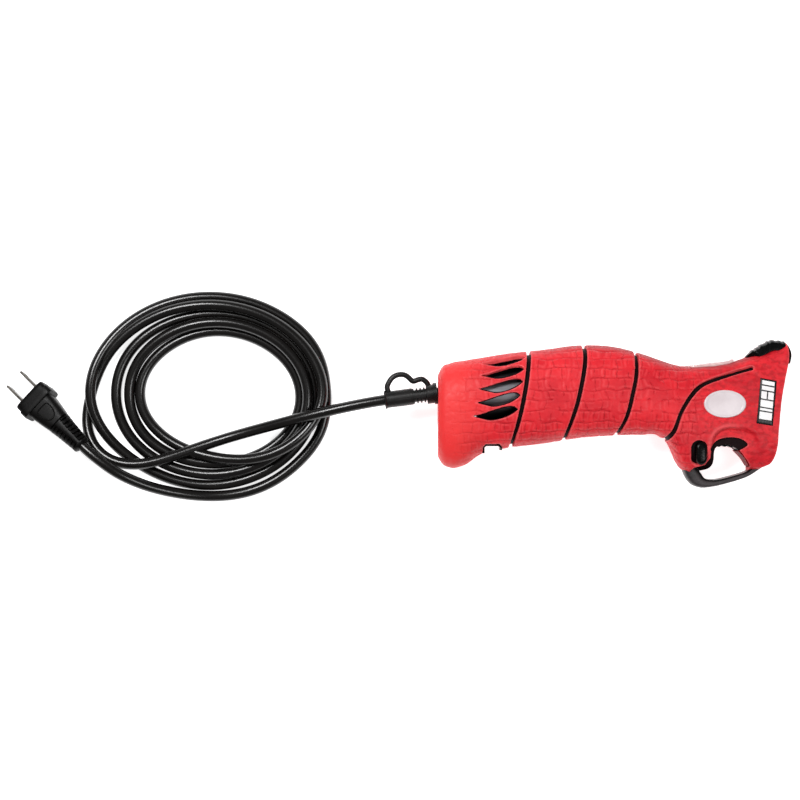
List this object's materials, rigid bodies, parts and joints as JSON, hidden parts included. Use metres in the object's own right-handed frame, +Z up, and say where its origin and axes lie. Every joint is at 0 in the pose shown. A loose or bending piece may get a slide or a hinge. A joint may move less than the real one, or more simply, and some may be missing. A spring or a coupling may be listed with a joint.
{
  "type": "electric knife handle",
  "caption": "Corded electric knife handle with trigger, guard, textured grip, reciprocating blade carriers, coiled mains cord and two-pin plug.",
  "frame": {"origin": "on the surface that the handle lies on, below the middle of the handle's box; the cord, plug and strain relief are left out of that box", "axes": "the handle lies on its left side: +X along the handle to the blade end, +Y to the spine, +Z up out of its right side"},
  "size_m": [0.5074, 0.1361, 0.048],
  "materials": {
    "red_overmould": "soft-touch moulded, crocodile-like texture",
    "black_plastic": "moulded, fine grain",
    "grey_plastic": "moulded, satin",
    "black_rubber": "matte",
    "lens_plastic": "translucent, moulded",
    "badge_plastic": "satin",
    "label_film": "printed film",
    "steel": "zinc plated",
    "magnet": "sintered",
    "copper": "turned",
    "bronze": "sintered",
    "carbon": "pressed",
    "nylon": "moulded",
    "zinc_casting": "die cast",
    "cord_jacket": "satin",
    "plug_rubber": "satin",
    "plug_brass": "stamped"
  },
  "bodies": {
    "root": {"grip_skin_right": "red_overmould", "grip_skin_left": "red_overmould", "housing_right": "black_plastic", "housing_left": "black_plastic", "trigger_guard": "grey_plastic", "thumb_pad": "black_rubber", "power_light_lens": "lens_plastic", "oval_badge": "badge_plastic", "label_plate": "label_film", "nose_plate": "black_plastic", "housing_screws": "steel", "motor_can": "steel", "motor_end_cap": "black_plastic", "motor_magnets": "magnet", "front_motor_bush": "bronze", "rear_motor_bush": "bronze", "carbon_brushes": "carbon", "front_bearing": "bronze", "gear_axle": "steel", "gear_frame": "zinc_casting", "carrier_guides": "black_plastic", "trigger_pin": "steel", "trigger_switch": "black_plastic", "strain_relief": "black_rubber", "cord_clamp": "black_plastic", "cord_inner_end": "cord_jacket", "cord_lead": "cord_jacket", "cord_tail": "cord_jacket", "cord_coil": "cord_jacket", "plug_body": "plug_rubber", "plug_blades": "plug_brass"},
    "rotor": {"motor_shaft": "steel", "motor_armature": "steel", "commutator": "copper", "cooling_fan": "nylon", "worm": "steel"},
    "gear": {"worm_wheel": "nylon", "crank_pins": "steel"},
    "upper_carrier": {"upper_blade_carrier": "nylon"},
    "lower_carrier": {"lower_blade_carrier": "nylon"},
    "trigger_lever": {"trigger": "black_plastic"},
    "plunger": {"switch_plunger": "nylon"},
    "lock": {"lock_button": "black_plastic"}
  },
  "joints": [
    {"name": "motor_spin", "type": "hinge", "parent": "root", "child": "rotor", "pos_m": [0, 0.013, 0.024], "axis": [1, 0, 0], "continuous": true},
    {"name": "gear_spin", "type": "hinge", "parent": "root", "child": "gear", "pos_m": [0.012, 0.0005, 0.024], "axis": [0, 0, 1], "continuous": true},
    {"name": "upper_carrier_slide", "type": "slide", "parent": "root", "child": "upper_carrier", "axis": [1, 0, 0], "range_m": [-0.005, 0.005]},
    {"name": "lower_carrier_slide", "type": "slide", "parent": "root", "child": "lower_carrier", "axis": [1, 0, 0], "range_m": [-0.005, 0.005]},
    {"name": "trigger_pull", "type": "hinge", "parent": "root", "child": "trigger_lever", "pos_m": [0.0825, -0.0145, 0.024], "axis": [0, 0, -1], "range_deg": [0, 8], "stiffness_Nm_per_rad": 0.3, "springref_deg": -5.73},
    {"name": "plunger_slide", "type": "slide", "parent": "root", "child": "plunger", "axis": [0, 1, 0], "range_m": [0, 0.00205]},
    {"name": "lock_push", "type": "slide", "parent": "root", "child": "lock", "axis": [0, 0, 1], "range_m": [-0.002, 0.002]}
  ],
  "couplings": [
    {"joint": "gear_spin", "follows": "motor_spin", "ratio": 0.047619},
    {"joint": "lower_carrier_slide", "follows": "upper_carrier_slide", "ratio": -1},
    {"joint": "plunger_slide", "follows": "trigger_pull", "m_per_rad": 0.014}
  ]
}
